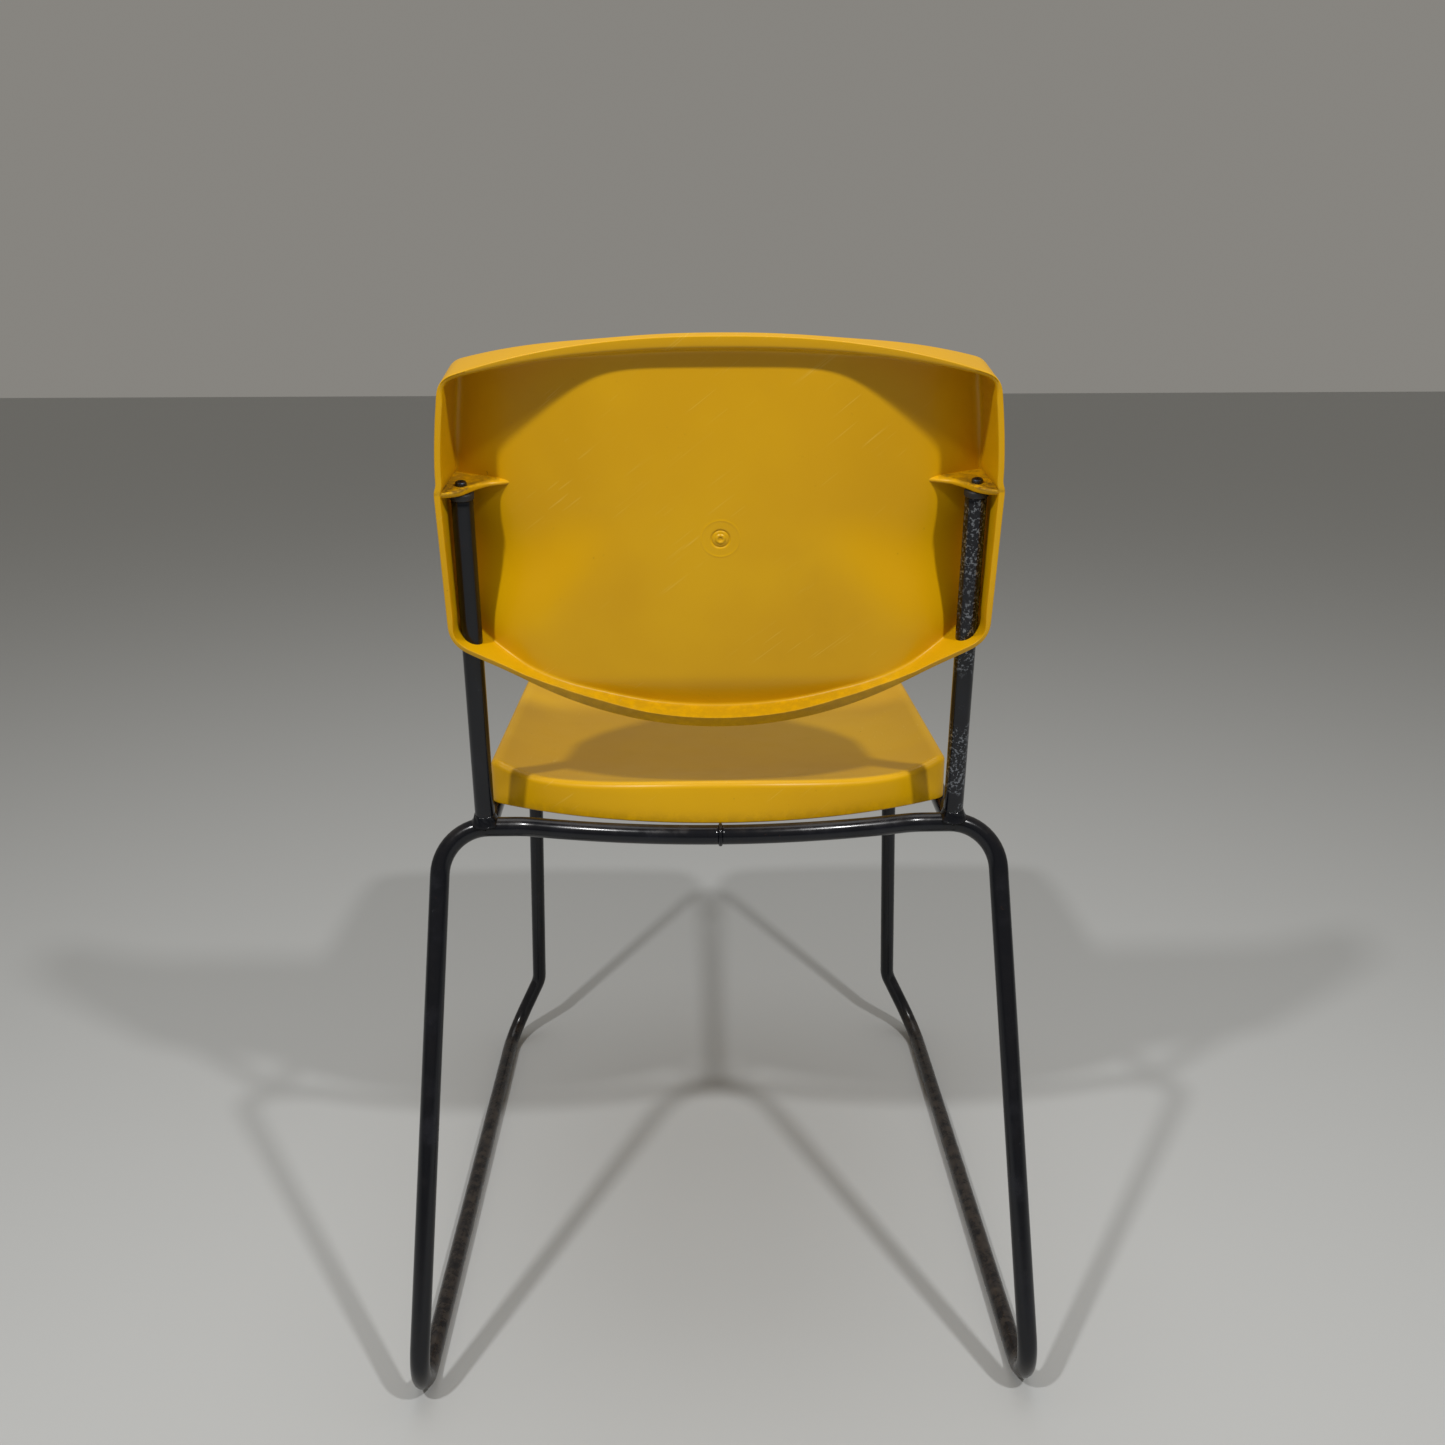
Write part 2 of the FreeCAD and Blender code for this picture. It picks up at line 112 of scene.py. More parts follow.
# Points along straight runs whose corners are rounded by tangent arcs, about step apart.
def bentPath(corners, radii, step):
    corners = np.array(corners, float)
    line = [corners[:1]]
    for i, radius in enumerate(radii):
        before, corner, after = corners[i], corners[i + 1], corners[i + 2]
        a = (before - corner) / np.linalg.norm(before - corner)
        b = (after - corner) / np.linalg.norm(after - corner)
        half = math.acos(np.clip(a @ b, -1, 1)) / 2
        reach = radius / math.tan(half)
        start, end = corner + a * reach, corner + b * reach
        run = np.linalg.norm(start - line[-1][-1])
        t = np.linspace(0, 1, max(2, int(run / (step * 2))) + 1)[1:, None]
        line.append(blend(line[-1][-1], start, t))
        bisector = (a + b) / np.linalg.norm(a + b)
        middle = corner + bisector * radius / math.sin(half)
        turn = math.pi - 2 * half
        t = np.linspace(0, 1, max(4, int(radius * turn / step)) + 1)[1:, None] * turn
        line.append(middle + (start - middle) * np.cos(t) - a * radius * np.sin(t))
    run = np.linalg.norm(corners[-1] - line[-1][-1])
    t = np.linspace(0, 1, max(2, int(run / (step * 2))) + 1)[1:, None]
    line.append(blend(line[-1][-1], corners[-1], t))
    return np.concatenate(line)


# Two directions square to the path at each point, carried along it without twist.
def turnAlong(path, up):
    along = np.gradient(path, axis=0)
    along /= np.linalg.norm(along, axis=1)[:, None]
    first = np.zeros_like(along)
    side = np.array(up, float)
    for i in range(len(path)):
        side = side - along[i] * (side @ along[i])
        side /= np.linalg.norm(side)
        first[i] = side
    return first, np.cross(along, first)


# A round bar along a path: centre + radius (cos a, sin a) in the section's two directions,
# its ends closed with a small rounded edge.
def tube(path, radius, sides=28, up=(0, 0, 1), edge=0.0006):
    first, second = turnAlong(path, up)
    along = np.cross(first, second)
    turn = np.linspace(0, 2 * math.pi, sides, endpoint=False)
    ring = first[:, None] * np.cos(turn)[:, None] + second[:, None] * np.sin(turn)[:, None]
    body = path[1:-1, None] + radius * ring[1:-1]
    capA = [path[0] + along[0] * edge * k + (radius - edge * r) * ring[0]
            for k, r in ((0, 1), (0.3, 0.3), (1, 0))]
    capB = [path[-1] - along[-1] * edge * k + (radius - edge * r) * ring[-1]
            for k, r in ((1, 0), (0.3, 0.3), (0, 1))]
    return closedGrid(np.concatenate([np.stack(capA), body, np.stack(capB)]))


# A profile of (distance along, radius) spun about the line from start to end. Its radius
# swells by a few seeded sine waves round and along, which makes a weld bead lumpy.
def lathe(profile, start, end, sides=48, lump=0.0, seed=0, waves=0, wave=0.0):
    start, end = np.array(start, float), np.array(end, float)
    axis = (end - start) / np.linalg.norm(end - start)
    side = np.cross(axis, (0.3, 0.9, 0.2))
    side /= np.linalg.norm(side)
    other = np.cross(axis, side)
    turn = np.linspace(0, 2 * math.pi, sides, endpoint=False)
    profile = np.array(profile, float)
    height, radius = profile[:, :1], profile[:, 1:2]
    rng = np.random.default_rng(seed)
    swell = wave * np.abs(np.sin(turn * waves / 2 + 1.5 * np.sin(turn)))[None]
    for k in range(5):
        swell = swell + lump * rng.uniform(0.3, 1) * np.sin(
            turn * rng.integers(2, 9) + height / mm * rng.uniform(0.2, 0.9) + rng.uniform(0, 6))
    radius = radius + swell * smooth((radius - radius.min()) / (np.ptp(radius) + 1e-9))
    spun = (start + height[..., None] * axis
            + radius[..., None] * (np.cos(turn)[None, :, None] * side
                                   + np.sin(turn)[None, :, None] * other))
    return closedGrid(spun)


# A closed outline resampled to evenly spaced points.
def evenLoop(loop, count):
    closed = np.concatenate([loop, loop[:1]])
    length = np.concatenate([[0], np.cumsum(np.linalg.norm(np.diff(closed, axis=0), axis=1))])
    at = np.linspace(0, length[-1], count, endpoint=False)
    return np.stack([np.interp(at, length, closed[:, k]) for k in (0, 1)], -1)


# Each point becomes the average of its neighbours within width, which rounds the corners.
def roundedLoop(loop, width, spacing):
    count = max(1, int(width / spacing / 2))
    box = np.ones(2 * count + 1) / (2 * count + 1)
    padded = np.concatenate([loop[-count:], loop, loop[:count]])
    return np.stack([np.convolve(padded[:, k], box, "valid") for k in (0, 1)], -1)


# The direction square to a closed outline, pointing away from what it encloses.
def outwards(loop):
    along = np.roll(loop, -1, 0) - np.roll(loop, 1, 0)
    away = np.stack([along[:, 1], -along[:, 0]], -1)
    away /= np.linalg.norm(away, axis=1)[:, None]
    area = np.sum(loop[:, 0] * np.roll(loop[:, 1], -1) - np.roll(loop[:, 0], -1) * loop[:, 1])
    return away if area > 0 else -away


# Rounding from a to c that bends at b: (1-t)^2 a + 2t(1-t) b + t^2 c.
def bezier(a, b, c, count):
    t = np.linspace(0, 1, count)[:, None]
    return [tuple((1 - s) ** 2 * p + 2 * s * (1 - s) * q + s ** 2 * r
                  for p, q, r in zip(a, b, c)) for s in t[:, 0]]


# One number per point, stored in the mesh for its material to read.
def paint(piece, name, values):
    layer = piece.data.attributes.new(name, "FLOAT", "POINT")
    layer.data.foreach_set("value", np.ascontiguousarray(values, np.float32))


# The places of a piece's points as rows of an array.
def points(piece):
    places = np.empty(len(piece.data.vertices) * 3)
    piece.data.vertices.foreach_get("co", places)
    return places.reshape(-1, 3)


# Shader node groups.
def groupOf(name, inputs, outputs):
    tree = bpy.data.node_groups.new(name, "ShaderNodeTree")
    for label, kind, value in inputs:
        socket = tree.interface.new_socket(name=label, in_out="INPUT", socket_type=kind)
        if value is not None:
            socket.default_value = value
    for label, kind in outputs:
        tree.interface.new_socket(name=label, in_out="OUTPUT", socket_type=kind)
    return tree, tree.nodes.new("NodeGroupInput"), tree.nodes.new("NodeGroupOutput")


# A node with its settings, and its inputs either linked or given a value.
def put(tree, kind, links=(), **settings):
    made = tree.nodes.new(kind)
    for key, value in settings.items():
        setattr(made, key, value)
    for where, value in links:
        if isinstance(value, bpy.types.NodeSocket):
            tree.links.new(value, made.inputs[where])
        else:
            made.inputs[where].default_value = value
    return made


def maths(tree, operation, a, b=0.0, clamp=False):
    return put(tree, "ShaderNodeMath", ((0, a), (1, b)), operation=operation,
               use_clamp=clamp).outputs[0]


# 0 below low, 1 above high and smooth between them.
def ramp(tree, value, low, high):
    return put(tree, "ShaderNodeMapRange", ((0, value), (1, low), (2, high)),
               interpolation_type="SMOOTHSTEP").outputs[0]


def mixColour(tree, share, a, b):
    return put(tree, "ShaderNodeMix", ((0, share), (6, a), (7, b)), data_type="RGBA").outputs[2]


def noise(tree, vector, scale, detail=3.0, rough=0.55):
    return put(tree, "ShaderNodeTexNoise", (("Vector", vector), ("Scale", scale),
               ("Detail", detail), ("Roughness", rough))).outputs[0]


# Specks: a fine noise that is cut high, and only where a coarse noise is high too.
def makeWearSpots():
    tree, enter, leave = groupOf("wearSpots", (("Vector", "NodeSocketVector", None),
                                 ("Scale", "NodeSocketFloat", 400.0),
                                 ("Cut", "NodeSocketFloat", 0.62),
                                 ("Patch Scale", "NodeSocketFloat", 20.0),
                                 ("Patch Cut", "NodeSocketFloat", 0.5)),
                                 (("Mask", "NodeSocketFloat"),))
    fine = noise(tree, enter.outputs[0], enter.outputs[1], 4.0, 0.65)
    coarse = noise(tree, enter.outputs[0], enter.outputs[3], 2.0)
    softer = maths(tree, "ADD", enter.outputs[2], 0.05)
    wider = maths(tree, "ADD", enter.outputs[4], 0.12)
    mask = maths(tree, "MULTIPLY", ramp(tree, fine, enter.outputs[2], softer),
                 ramp(tree, coarse, enter.outputs[4], wider))
    tree.links.new(mask, leave.inputs[0])
    return tree


# Height of a moulded or sprayed surface: gentle waviness plus a fine pebble.
def makeFineGrain():
    tree, enter, leave = groupOf("fineGrain", (("Vector", "NodeSocketVector", None),
                                 ("Wave Scale", "NodeSocketFloat", 25.0),
                                 ("Pebble Scale", "NodeSocketFloat", 900.0),
                                 ("Pebble Share", "NodeSocketFloat", 0.3)),
                                 (("Height", "NodeSocketFloat"),))
    wave = noise(tree, enter.outputs[0], enter.outputs[1], 2.0)
    pebble = noise(tree, enter.outputs[0], enter.outputs[2], 2.0, 0.5)
    height = maths(tree, "ADD", wave, maths(tree, "MULTIPLY", pebble, enter.outputs[3]))
    tree.links.new(height, leave.inputs[0])
    return tree


# Thin scratches: noise stretched along one direction and cut to its crests.
def makeFineScratches():
    tree, enter, leave = groupOf("fineScratches", (("Vector", "NodeSocketVector", None),
                                 ("Turn", "NodeSocketFloat", 0.5),
                                 ("Cut", "NodeSocketFloat", 0.66)),
                                 (("Mask", "NodeSocketFloat"),))
    turned = put(tree, "ShaderNodeVectorRotate", (("Vector", enter.outputs[0]),
                 ("Angle", enter.outputs[1])), rotation_type="Y_AXIS")
    stretched = put(tree, "ShaderNodeMapping", (("Vector", turned.outputs[0]),
                    ("Scale", (900.0, 60.0, 14.0))))
    lines = noise(tree, stretched.outputs[0], 1.0, 2.0)
    patch = noise(tree, enter.outputs[0], 14.0, 2.0)
    mask = maths(tree, "MULTIPLY",
                 ramp(tree, lines, enter.outputs[2], maths(tree, "ADD", enter.outputs[2], 0.04)),
                 ramp(tree, patch, 0.5, 0.62))
    tree.links.new(mask, leave.inputs[0])
    return tree


# How much a face looks up, broken up by noise, for dust that settles there.
def makeDustOnTop():
    tree, enter, leave = groupOf("dustOnTop", (("Vector", "NodeSocketVector", None),
                                 ("Amount", "NodeSocketFloat", 0.5)),
                                 (("Mask", "NodeSocketFloat"),))
    facing = tree.nodes.new("ShaderNodeNewGeometry")
    upward = put(tree, "ShaderNodeSeparateXYZ", ((0, facing.outputs["Normal"]),))
    patch = ramp(tree, noise(tree, enter.outputs[0], 60.0, 5.0, 0.65), 0.35, 0.7)
    mask = maths(tree, "MULTIPLY", ramp(tree, upward.outputs[2], 0.1, 0.95), patch)
    tree.links.new(maths(tree, "MULTIPLY", mask, enter.outputs[1], True), leave.inputs[0])
    return tree


wearSpots, fineGrain = makeWearSpots(), makeFineGrain()
fineScratches, dustOnTop = makeFineScratches(), makeDustOnTop()


# Places a shared effect in a material with its own values.
def use(tree, group, vector, **values):
    made = tree.nodes.new("ShaderNodeGroup")
    made.node_tree = group
    tree.links.new(vector, made.inputs["Vector"])
    for key, value in values.items():
        made.inputs[key.replace("_", " ")].default_value = value
    return made.outputs[0]


def newFinish(name):
    finish = bpy.data.materials.new(name)
    finish.use_nodes = True
    tree = finish.node_tree
    shader = tree.nodes["Principled BSDF"]
    where = tree.nodes.new("ShaderNodeTexCoord").outputs["Object"]
    return finish, tree, shader, where


# An sRGB colour, 0 to 255, as linear values with full alpha.
def srgb(r, g, b):
    c = np.array([r, g, b]) / 255
    c = np.where(c <= 0.04045, c / 12.92, ((c + 0.055) / 1.055) ** 2.4)
    return (*c.tolist(), 1.0)


def addBump(tree, shader, height, strength, distance):
    bump = put(tree, "ShaderNodeBump", (("Height", height), ("Strength", strength),
               ("Distance", distance)))
    tree.links.new(bump.outputs[0], shader.inputs["Normal"])


# Finishes.
yellowMould = {"colour": srgb(214, 163, 0), "deeper": srgb(206, 154, 0),
               "dirt": srgb(74, 50, 22), "scuff": srgb(226, 190, 90), "rough": 0.34,
               "grain": 0.12, "grainDepth": 0.0002}


# Coloured-through moulded plastic with scuffs, dark specks and grime where it collects.
def makeYellow(name, dirtLevel):
    finish, tree, shader, where = newFinish(name)
    y = yellowMould
    patch = noise(tree, where, 6.0, 3.0)
    colour = mixColour(tree, ramp(tree, patch, 0.35, 0.65), y["colour"], y["deeper"])
    scratch = use(tree, fineScratches, where, Turn=0.9, Cut=0.665)
    colour = mixColour(tree, maths(tree, "MULTIPLY", scratch, 0.35), colour, y["scuff"])
    specks = use(tree, wearSpots, where, Scale=330.0, Cut=0.69, Patch_Scale=18.0, Patch_Cut=0.52)
    grime = put(tree, "ShaderNodeAttribute", attribute_name="grime").outputs["Fac"]
    cloud = noise(tree, where, 120.0, 5.0, 0.7)
    grimed = maths(tree, "MULTIPLY", grime, ramp(tree, cloud, 0.3, 0.62))
    smear = ramp(tree, noise(tree, where, 11.0, 4.0, 0.6), 0.56, 0.78)
    smear = maths(tree, "MULTIPLY", maths(tree, "MULTIPLY", smear, cloud), dirtLevel)
    dirt = maths(tree, "MAXIMUM", maths(tree, "MULTIPLY", specks, 0.65),
                 maths(tree, "MAXIMUM", grimed, smear))
    colour = mixColour(tree, dirt, colour, y["dirt"])
    tree.links.new(colour, shader.inputs["Base Color"])
    sheen = noise(tree, where, 45.0, 4.0)
    rough = maths(tree, "ADD", y["rough"] - 0.06, maths(tree, "MULTIPLY", sheen, 0.14))
    rough = maths(tree, "ADD", rough, maths(tree, "MULTIPLY", dirt, 0.3), True)
    tree.links.new(rough, shader.inputs["Roughness"])
    shader.inputs["Specular IOR Level"].default_value = 0.3
    height = use(tree, fineGrain, where, Wave_Scale=22.0, Pebble_Scale=1100.0, Pebble_Share=0.12)
    height = maths(tree, "SUBTRACT", height, maths(tree, "MULTIPLY", scratch, 0.1))
    addBump(tree, shader, height, y["grain"], y["grainDepth"])
    return finish


blackPaint = {"colour": srgb(6, 8, 15), "worn": srgb(17, 19, 27), "rough": 0.17,
              "chip": srgb(118, 122, 128), "dust": srgb(84, 74, 64), "rust": srgb(58, 38, 28)}


# Gloss black paint on steel: bright chips, dust on what looks up, faint bluish sheen.
def makeBlack(name, chipCut, dustAmount, lumpy=0.0, patchCut=0.5):
    finish, tree, shader, where = newFinish(name)
    b = blackPaint
    wear = ramp(tree, noise(tree, where, 30.0, 4.0, 0.6), 0.5, 0.75)
    colour = mixColour(tree, wear, b["colour"], b["worn"])
    dust = use(tree, dustOnTop, where, Amount=dustAmount)
    height = put(tree, "ShaderNodeSeparateXYZ", ((0, where),)).outputs[2]
    nearFloor = ramp(tree, maths(tree, "MULTIPLY", height, -1.0), -0.045, -0.006)
    dirt = maths(tree, "MULTIPLY", nearFloor, ramp(tree, noise(tree, where, 90.0, 5.0, 0.7),
                 0.3, 0.72))
    dirt = maths(tree, "MAXIMUM", dust, maths(tree, "MULTIPLY", dirt, 0.55))
    colour = mixColour(tree, dirt, colour, b["dust"])
    rust = use(tree, wearSpots, where, Scale=260.0, Cut=0.66, Patch_Scale=26.0, Patch_Cut=0.5)
    colour = mixColour(tree, maths(tree, "MULTIPLY", rust, 0.45), colour, b["rust"])
    chip = use(tree, wearSpots, where, Scale=420.0, Cut=chipCut, Patch_Scale=34.0,
               Patch_Cut=patchCut)
    colour = mixColour(tree, chip, colour, b["chip"])
    tree.links.new(colour, shader.inputs["Base Color"])
    rough = maths(tree, "ADD", b["rough"], maths(tree, "MULTIPLY", dirt, 0.5))
    rough = maths(tree, "ADD", rough, maths(tree, "MULTIPLY", wear, 0.14), True)
    tree.links.new(rough, shader.inputs["Roughness"])
    tree.links.new(maths(tree, "MULTIPLY", chip, 0.7), shader.inputs["Metallic"])
    shader.inputs["Specular IOR Level"].default_value = 0.4
    height = use(tree, fineGrain, where, Wave_Scale=70.0, Pebble_Scale=700.0,
                 Pebble_Share=0.25 + lumpy)
    height = maths(tree, "SUBTRACT", height, maths(tree, "MULTIPLY", chip, 0.8))
    addBump(tree, shader, height, 0.18 + lumpy, 0.0002)
    return finish


# Plated steel with darker tarnish patches and fine wear.
def makeMetal(name, colour, tarnish, rough, metal=1.0):
    finish, tree, shader, where = newFinish(name)
    patch = ramp(tree, noise(tree, where, 260.0, 5.0, 0.65), 0.4, 0.7)
    spots = use(tree, wearSpots, where, Scale=900.0, Cut=0.6, Patch_Scale=150.0, Patch_Cut=0.45)
    tone = mixColour(tree, maths(tree, "MAXIMUM", patch, spots), colour, tarnish)
    tree.links.new(tone, shader.inputs["Base Color"])
    shade = maths(tree, "ADD", rough, maths(tree, "MULTIPLY", patch, 0.2), True)
    tree.links.new(shade, shader.inputs["Roughness"])
    shader.inputs["Metallic"].default_value = metal
    height = use(tree, fineGrain, where, Wave_Scale=300.0, Pebble_Scale=2200.0, Pebble_Share=0.4)
    addBump(tree, shader, height, 0.3, 0.0001)
    return finish


yellowBack = makeYellow("yellowBack", 0.10)
yellowSeat = makeYellow("yellowSeat", 0.22)
blackFrame = makeBlack("blackFrame", 0.70, 0.16)
blackScuffed = makeBlack("blackScuffed", 0.54, 0.16, 0.0, 0.40)
blackTidy = makeBlack("blackTidy", 0.68, 0.14)
blackWeld = makeBlack("blackWeld", 0.70, 0.12, 0.5)
blackNylon = makeMetal("blackNylon", srgb(30, 30, 32), srgb(22, 22, 24), 0.5, 0.0)
darkScrew = makeMetal("darkScrew", srgb(84, 90, 102), srgb(40, 38, 38), 0.38)
zincPlate = makeMetal("zincPlate", srgb(188, 190, 192), srgb(120, 118, 112), 0.34)
print("finishes made")


# Gives a new piece its finish and body, and hides the CAD nodes that it stands for.
def dress(piece, finish, slotName, *nodes):
    piece.data.materials.clear()
    piece.data.materials.append(finish)
    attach(piece, "root")
    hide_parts(*nodes)
    return piece


# Frame rods.
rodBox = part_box("left_side_rod")
rod = {"radius": 0.0075, "sides": 30, "step": 0.004, "railZ": 0.4345,
       "crossMidY": 0.1855, "crossY": 0.1635, "bowX": 0.070, "shoulderX": 0.1498,
       "kneeX": 0.2145, "frontX": 0.1905, "frontY": -0.2495, "railRearX": 0.1795,
       "kink": (0.2043, -0.2885, 0.070), "frontFootY": -0.2725, "rearFootY": 0.3014,
       "radii": (0.518, 0.060, 0.038, 0.038, 0.043, 0.024, 0.038)}
runnerX = rodBox[1][0] - rod["radius"]


def railPoint(y):
    share = (y - rod["frontY"]) / (rod["crossY"] - rod["frontY"])
    return np.array([blend(rod["frontX"], rod["railRearX"], share), y, rod["railZ"]])


# Half the rear crossbar, rear leg, runner, front leg and seat rail, bent from one bar.
def makeSideRod(side):
    r = rod["radius"]
    corners = np.array([(0.0002, rod["crossMidY"], rod["railZ"]),
                        (rod["bowX"], rod["crossMidY"], rod["railZ"]),
                        (rod["shoulderX"], rod["crossY"], rod["railZ"]),
                        (rod["kneeX"], rod["crossY"], rod["railZ"]),
                        (runnerX, rod["rearFootY"], r), (runnerX, rod["frontFootY"], r),
                        rod["kink"], (rod["frontX"], rod["frontY"], rod["railZ"]),
                        railPoint(rod["crossY"] - r - 0.0003)])
    path = bentPath(corners, rod["radii"], rod["step"]) * (side, 1, 1)
    name = "leftSideRod" if side > 0 else "rightSideRod"
    return addMesh(name, *tube(path, r, rod["sides"]))


for side, node in ((1, "left_side_rod"), (-1, "right_side_rod")):
    dress(makeSideRod(side), blackFrame, "frame_black", node)

brace = {"radius": 0.006, "y": -0.205}
braceEnd = railPoint(brace["y"])
bracePath = blend(braceEnd * (-1, 1, 1), braceEnd, np.linspace(0, 1, 60)[:, None])
dress(addMesh("frontBrace", *tube(bracePath, brace["radius"], 24)),
      blackFrame, "frame_black", "front_brace")
print("rods made")


# Uprights, bushes and welds.
lean = math.radians(13.0)
backOrigin = np.array([0.0, 0.1885, 0.444])
across = np.array([1.0, 0.0, 0.0])
rearwards = np.array([0.0, math.cos(lean), -math.sin(lean)])
upLean = np.array([0.0, math.sin(lean), math.cos(lean)])


# From the back's own frame (across, up the lean, rearwards) to the chair's.
def backPoint(u, v, w):
    u, v, w = np.broadcast_arrays(u, v, w)
    return backOrigin + u[..., None] * across + v[..., None] * upLean + w[..., None] * rearwards


upright = {"footX": 0.1806, "topX": 0.1744, "set": 0.025, "length": 0.250, "wall": 0.0015,
           "headR": 0.0083, "head": 0.005, "bore": 0.024}


def uprightEnds(side):
    foot = np.array([side * upright["footX"], rod["crossY"], rod["railZ"]])
    top = backPoint(side * upright["topX"], upright["length"], -upright["set"])
    return foot, top


for side, word, finish in ((1, "left", blackTidy), (-1, "right", blackScuffed)):
    foot, top = uprightEnds(side)
    length = np.linalg.norm(top - foot)
    r, inner = rod["radius"], rod["radius"] - upright["wall"]
    outside = [(h, r) for h in np.linspace(0.001, length - 0.0005, 70)]
    bore = [(length, r - 0.0004), (length, inner + 0.0002), (length - 0.0005, inner),
            (length - upright["bore"], inner), (length - upright["bore"], 0.001)]
    dress(addMesh(word + "Upright", *lathe([(0.001, 0.001)] + outside + bore, foot, top, 30)),
          finish, "frame_black", word + "_upright")
    h, headR = upright["head"], upright["headR"]
    shank = inner - 0.00005
    profile = [(length - 0.024, 0.0008), (length - 0.024, shank), (length + 0.00002, shank),
               (length + 0.00004, headR - 0.0008), (length + 0.0003, headR - 0.0002),
               (length + 0.0009, headR), (length + h - 0.0012, headR),
               (length + h - 0.0004, headR - 0.0004), (length + h - 0.00005, headR - 0.0013),
               (length + h, 0.0024), (length + h - 0.0004, 0.0021), (length - 0.02, 0.002),
               (length - 0.02, 0.0006)]
    dress(addMesh(word + "UprightBush", *lathe(profile, foot, top, 40)),
          blackNylon, "bush_nylon", word + "_upright_bush")
    collar = [(0.0048, 0.004)] + [(0.0048 + 0.0079 * t, 0.0111 - 0.00345 * t ** 0.62)
                                  for t in np.linspace(0, 1, 14)] + [(0.0128, 0.005)]
    dress(addMesh(word + "UprightWeld", *lathe(collar, foot, top, 72, 0.0001, 3 + side,
                                               15, 0.0002)),
          blackWeld, "weld", word + "_upright_weld")

beadTurn = np.linspace(0, math.pi, 12)
bead = [(-0.0016, 0.005)] + [(-0.0015 * math.cos(a), 0.0074 + 0.0014 * math.sin(a))
                             for a in beadTurn] + [(0.0016, 0.005)]
midCross = np.array([0.0, rod["crossMidY"], rod["railZ"]])
dress(addMesh("rearButtWeld", *lathe(bead, midCross, midCross + across, 84, 0.00004, 5,
                                     19, 0.0001)),
      blackWeld, "weld", "rear_butt_weld")


# The same skin on the other side, its faces turned back outwards by addMesh.
def mirrored(skin):
    verts, faces = skin
    return verts * (-1, 1, 1), faces


def weldPair(name, profile, start, end, node, seed):
    skin = lathe(profile, start, end, 64, 0.00008, seed, 13, 0.00012)
    dress(addMesh(name, *joined([skin, mirrored(skin)])), blackWeld, "weld", node)


railEnd = [(0.0, 0.0066), (0.0005, 0.0074), (0.0025, 0.0079), (0.006, 0.0083), (0.009, 0.0083),
           (0.0105, 0.0076), (0.0107, 0.004)]
weldPair("railEndWelds", railEnd, railPoint(rod["crossY"] - 0.011), railPoint(rod["crossY"]),
         "rail_end_welds", 8)
braceBead = [(0.0, 0.004), (0.0001, 0.0087), (0.0012, 0.0086), (0.003, 0.0076),
             (0.0048, 0.0066), (0.0059, 0.0061), (0.006, 0.004)]
weldPair("braceWelds", braceBead, braceEnd - (0.0046, 0, 0), braceEnd - (0.0146, 0, 0),
         "brace_welds", 9)
print("uprights, bushes and welds made")


# Seat.
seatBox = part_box("seat_shell")
seat = {"around": 560, "wall": 0.004, "rim": 0.008, "dish": 0.017, "rollFrom": -0.150,
        "rollLen": 0.120, "rollDrop": 0.013, "rearCornerY": 0.1285, "frontCornerY": -0.262,
        "rearCorner": 0.016, "frontCorner": 0.060, "edgeRound": 0.0048, "lipRound": 0.0012,
        "bend": 0.002, "ribPitch": 0.060, "ribThick": 0.0025, "ribLift": 0.006,
        "centreY": -0.04, "rimHeight": 0.0349}
seatHalf, seatRearY, seatFrontY = seatBox[1][0], seatBox[1][1], seatBox[0][1]
seatLow, seatRimZ = seatBox[0][2], seatBox[0][2] + seat["rimHeight"]


# Flat rim round a shallow dish: rim height less depth (1 - |x|^5)(1 - |y|^6), less a roll
# that grows with the square of the distance ahead of the roll line.
def seatTopZ(x, y):
    acrossShare = np.minimum(1, np.abs(x) / (seatHalf - seat["rim"]))
    frontY = seat["frontCornerY"]
    middle, half = (seatRearY + frontY) / 2, (seatRearY - frontY) / 2
    alongShare = np.minimum(1, np.abs(y - middle) / half)
    dish = seat["dish"] * (1 - acrossShare ** 5) * (1 - alongShare ** 6)
    ahead = np.maximum(0, (seat["rollFrom"] - y) / seat["rollLen"])
    return seatRimZ - dish - seat["rollDrop"] * ahead ** 2


# Points of the circle through (-halfWidth, endY), (0, midY) and (halfWidth, endY).
def arcThrough(halfWidth, endY, midY, count):
    sag = midY - endY
    radius = (halfWidth ** 2 + sag ** 2) / (2 * sag)
    x = np.linspace(-halfWidth, halfWidth, count)
    y = midY - radius + np.sign(sag) * np.sqrt(radius ** 2 - x ** 2)
    return np.stack([x, y], -1)


def seatOutline():
    rear = arcThrough(seatHalf, seat["rearCornerY"], seatRearY, 900)
    front = arcThrough(seatHalf, seat["frontCornerY"], seatFrontY, 900)
    loop = evenLoop(np.concatenate([rear, front[::-1]]), 6000)
    spacing = np.linalg.norm(loop[1] - loop[0])
    tight = roundedLoop(loop, seat["rearCorner"], spacing)
    wide = roundedLoop(loop, seat["frontCorner"], spacing)
    share = smooth((loop[:, 1:] + 0.05) / 0.1)
    return evenLoop(blend(wide, tight, share), seat["around"])


